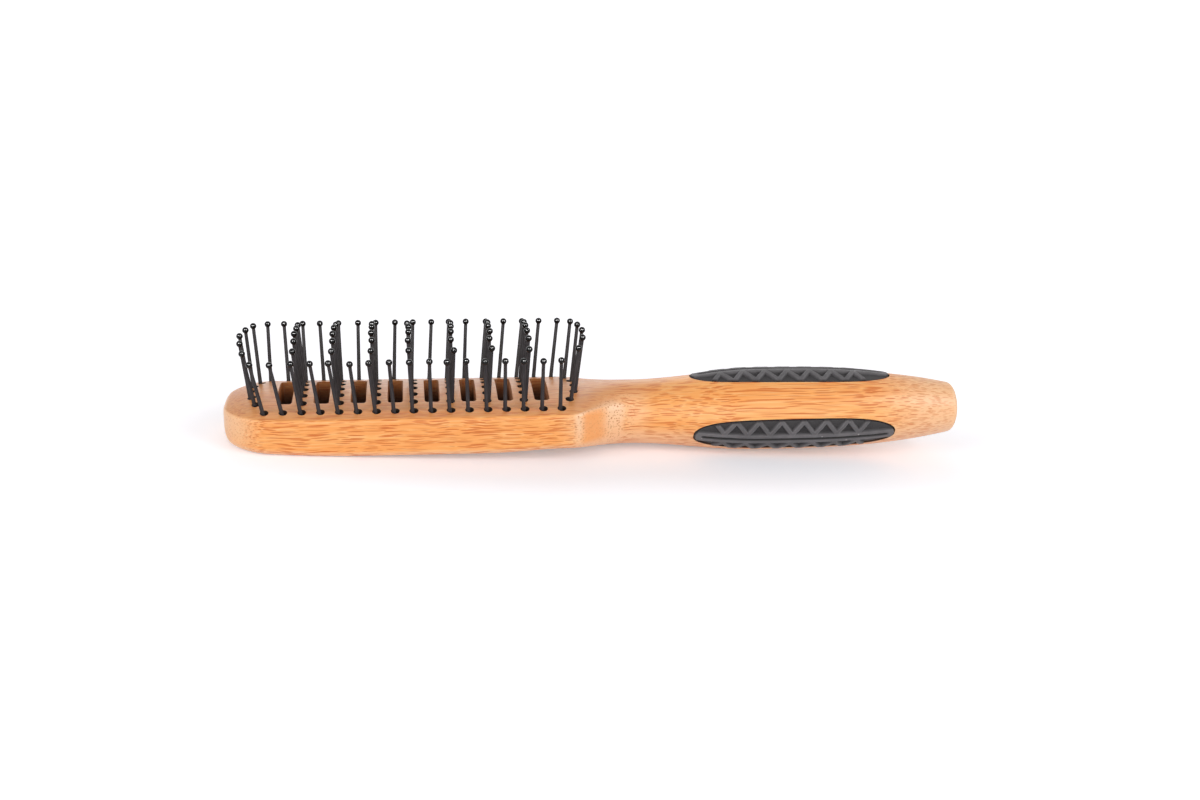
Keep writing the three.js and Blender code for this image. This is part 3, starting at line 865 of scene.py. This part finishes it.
WOOD = bamboo("oiled_bamboo")
SAWN = bamboo("sawn_bamboo", shade_colour=WALL_SHADE, unshaded_top=0.65)
# Holes and the pockets round the grips, nearly black with painted shade
SHADED_BAMBOO = bamboo("shaded_bamboo", shade_colour=DEEP_SHADE)
RUBBER = rubber()
SHAFT = nylon("satin_nylon", low=0.04, high=0.06, rough=0.5, gloss=0.05)
BALL = nylon("glossy_nylon", low=0.003, high=0.005, rough=0.07, gloss=0.2)


# Pieces


def keep(piece, slot, *nodes):
    """Ties a piece to the body and the nodes that it stands for. The slot is not used."""
    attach(piece, "root")
    if nodes:
        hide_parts(*nodes)
    return piece


def cut(blank, cutter):
    """Takes the cutter out of the blank. The new walls keep the cutter's materials."""
    modifier = blank.modifiers.new("cut", "BOOLEAN")
    modifier.operation = "DIFFERENCE"
    modifier.solver = "MANIFOLD"
    modifier.object = cutter
    modifier.material_mode = "TRANSFER"
    cut_blank = blank.evaluated_get(bpy.context.evaluated_depsgraph_get())
    solid = bpy.data.meshes.new_from_object(cut_blank)
    blank.modifiers.clear()
    blank.data = solid
    bpy.data.objects.remove(cutter)


SHARP_EDGE = math.radians(38)  # edges that bend more than this stay sharp


def wood_body(places):
    """The bamboo, with its holes drilled, its vents sawn and its pockets cut."""
    rings = [wood_ring(x) for x in wood_stations()]
    dome = (LENGTH, 0, axis_z(LENGTH))
    body = mesh_object("bamboo_wood", *loft(rings, (rings[0].mean(0), dome)))
    body.data.materials.append(WOOD)

    hole = hole_shape()
    drilled = joined("drilled", [turned(hole, foot, way) for _, _, foot, way in places])
    vent_xs = [FIELD_NOSE_MARGIN + column * COLUMN_PITCH for column in range(1, COLUMNS, 2)]
    vents = joined("vents", [vent_shape(x) for x in vent_xs])
    pockets = joined("pockets", [pocket_shape(math.radians(a)) for a in GRIP_ANGLES.values()])
    for cutter, material in ((drilled, SHADED_BAMBOO), (vents, SAWN), (pockets, SHADED_BAMBOO)):
        cutter.data.materials.append(material)
        cut(body, cutter)
    body.data.shade_smooth()
    body.data.set_sharp_from_angle(angle=SHARP_EDGE)
    return keep(body, "bamboo", "bamboo_body")


def grips():
    for name, degrees in GRIP_ANGLES.items():
        pad = pad_object(f"{name}_grip_pad", math.radians(degrees))
        pad.data.materials.append(RUBBER)
        keep(pad, "rubber", f"{name}_grip")


def pins(places):
    """One turned mesh for all pins. Those without a node of their own are one with the wood's."""
    chance = random.Random(PIN_SEED)
    pattern = mesh_object("pin", *pin_shape(), place=(0, 0, 0))
    mesh = pattern.data
    mesh.materials.append(SHAFT)
    mesh.materials.append(BALL)
    for face in mesh.polygons:
        face.material_index = face.center.z > POLISHED_FROM
    bpy.data.objects.remove(pattern)
    made = []
    for row, column, foot, way in places:
        label = f"pin_row{row + 1}_column{column + 1:02d}"
        pin = bpy.data.objects.new(f"turned_{label}", mesh)
        bpy.context.collection.objects.link(pin)
        nudge = Vector([chance.gauss(0, PIN_JITTER) for _ in range(3)])
        # Inner pins of the neck half stand at the neck side of their holes, the others at the
        # nose side. The balls stay over the holes' middle lines.
        to_neck = 0 < row < ROWS - 1 and column > MIDDLE_COLUMN
        seat = Vector((PIN_SET if to_neck else -PIN_SET, 0, 0))
        turn = (way - seat / PIN_REACH + nudge).to_track_quat("Z", "Y")
        stand = Matrix.Translation(foot + seat + Vector(PLACE))
        pin.matrix_world = stand @ turn.to_matrix().to_4x4()
        made.append(keep(pin, "nylon", label if label in frame["nodes"] else "bamboo_body"))
    return made


PLACES = list(pin_places())
wood_body(PLACES)
grips()
PINS = pins(PLACES)


# Floor, light and camera

WHITE = (1, 1, 1, 1)
RESTING_STATIONS = 471
FLOOR_SIZE = 6.0
FLOOR_COLOUR = (0.89, 0.88, 0.93, 1)
FLOOR_ROUGHNESS = 0.9
# The floor's glow round the brush, a little farther off, and what is added far away. Distances
# are in half axes of the patch that the brush stands on.
GLOW_REACH = (0.11, 0.035)
FLOOR_GLOW = 0.25
AROUND_GLOW = 0.5
FAR_GLOW = 0.5
AROUND = (0.6, 1.6)
FAR = (3.0, 12.0)
AMBIENT = 0.3  # share of the white background that lights the brush


def resting_line():
    """Slope and height at x = 0 of the floor, on which the brush rests at its belly and nose."""
    lows = []
    for x in np.linspace(0, LENGTH, RESTING_STATIONS):
        ring = wood_ring(min(x, LENGTH - BUTT_DOME))
        lows.append((x + PLACE[0], ring[:, 2].min() + PLACE[2]))
    left = [low for low in lows if low[0] < 0]
    right = [low for low in lows if low[0] > 0]
    lines = []
    for x, z in left:
        for far_x, far_z in right:
            slope = (far_z - z) / (far_x - x)
            lines.append((z - slope * x, slope))
    height, slope = min(lines)
    return slope, height


def background_rays(nodes, links):
    """One for rays from the camera, in reflections and through glass, otherwise nought."""
    path = nodes.new("ShaderNodeLightPath")
    total = path.outputs["Is Camera Ray"]
    for other in ("Is Glossy Ray", "Is Transmission Ray"):
        largest = nodes.new("ShaderNodeMath")
        largest.operation = "MAXIMUM"
        links.new(total, largest.inputs[0])
        links.new(path.outputs[other], largest.inputs[1])
        total = largest.outputs[0]
    return total


def floor():
    """White far away and pale near the brush, where it keeps the shadow."""
    slope, height = resting_line()
    half = FLOOR_SIZE / 2
    square = ((-half, -half), (half, -half), (half, half), (-half, half))
    corners = [(x, y, height + slope * x) for x, y in square]
    plane = mesh_object("floor", corners, [(0, 1, 2, 3)], place=(0, 0, 0))
    s = Shader("pale_floor")
    s.set(Base_Color=FLOOR_COLOUR, Roughness=FLOOR_ROUGHNESS, Specular_IOR_Level=0.0)
    around = s.stretched(s.place(), (*GLOW_REACH, FLOOR_SIZE))
    distance = s.node("ShaderNodeVectorMath", {0: around}, operation="LENGTH").outputs["Value"]
    near = s.step(distance, *AROUND, FLOOR_GLOW, AROUND_GLOW)
    glow = s.math("ADD", near, s.step(distance, *FAR, 0.0, FAR_GLOW))
    strength = s.times(background_rays(s.tree.nodes, s.tree.links), glow)
    s.set(Emission_Color=WHITE, Emission_Strength=strength)
    plane.data.materials.append(s.material)


def world():
    made = bpy.data.worlds.new("studio")
    made.use_nodes = True
    nodes, links = made.node_tree.nodes, made.node_tree.links
    strength = nodes.new("ShaderNodeMapRange")
    strength.inputs["To Min"].default_value = AMBIENT
    links.new(background_rays(nodes, links), strength.inputs["Value"])
    links.new(strength.outputs[0], nodes["Background"].inputs["Strength"])
    nodes["Background"].inputs["Color"].default_value = WHITE
    bpy.context.scene.world = made


def softbox(name, way, distance, size, level):
    """A square lamp that points at the middle of the brush.

    Alone, it shows a surface that faces it at the given share of its colour."""
    light = bpy.data.lights.new(name, "AREA")
    light.size = size
    light.energy = level * (math.pi * distance) ** 2
    lamp = bpy.data.objects.new(name, light)
    lamp.location = Vector(way).normalized() * distance
    lamp.rotation_euler = Vector(way).to_track_quat("Z", "Y").to_euler()
    bpy.context.collection.objects.link(lamp)
    return lamp


def sparkle(lamp, pieces):
    """Keeps a lamp to the highlights on some pieces."""
    lamp.visible_diffuse = False
    receivers = bpy.data.collections.new(f"{lamp.name} receivers")
    for piece in pieces:
        receivers.objects.link(piece)
    lamp.light_linking.receiver_collection = receivers


# Fitted to the pins and the outline in the photograph
CAMERA_PLACE = PLACE + np.array((56.21, -389.72, 145.03)) * MM
CAMERA_TILT = math.radians(20.94)
CAMERA_YAW = math.radians(3.264)
CAMERA_ROLL = math.radians(0.217)
CAMERA_SHIFT = 0.1
CAMERA_LENS = 40.5
SENSOR_WIDTH = 36
NEAR_CLIP = 0.01


def camera():
    made = bpy.data.cameras.new("camera")
    made.sensor_fit = "HORIZONTAL"
    made.sensor_width = SENSOR_WIDTH
    made.lens = CAMERA_LENS
    made.shift_x = CAMERA_SHIFT
    made.clip_start = NEAR_CLIP
    lens = bpy.data.objects.new("camera", made)
    turn = (
        Matrix.Rotation(-CAMERA_YAW, 4, "Z")
        @ Matrix.Rotation(math.pi / 2 - CAMERA_TILT, 4, "X")
        @ Matrix.Rotation(CAMERA_ROLL, 4, "Z")
    )
    lens.matrix_world = Matrix.Translation(CAMERA_PLACE) @ turn
    bpy.context.collection.objects.link(lens)
    bpy.context.scene.camera = lens


floor()
world()
softbox("front", way=(0, -0.98, 0.16), distance=1.3, size=1.2, level=0.46)
for side in (-1, 1):
    softbox("side", way=(0.7 * side, -0.5, 0.52), distance=1.1, size=0.5, level=0.27)
    spark = softbox("spark", way=(0.45 * side, -0.7, 0.55), distance=1.1, size=0.24, level=4.0)
    sparkle(spark, PINS)
softbox("back", way=(0, 0.85, 0.5), distance=1.4, size=1.0, level=0.22)
camera()
bpy.context.scene.view_settings.view_transform = "Standard"
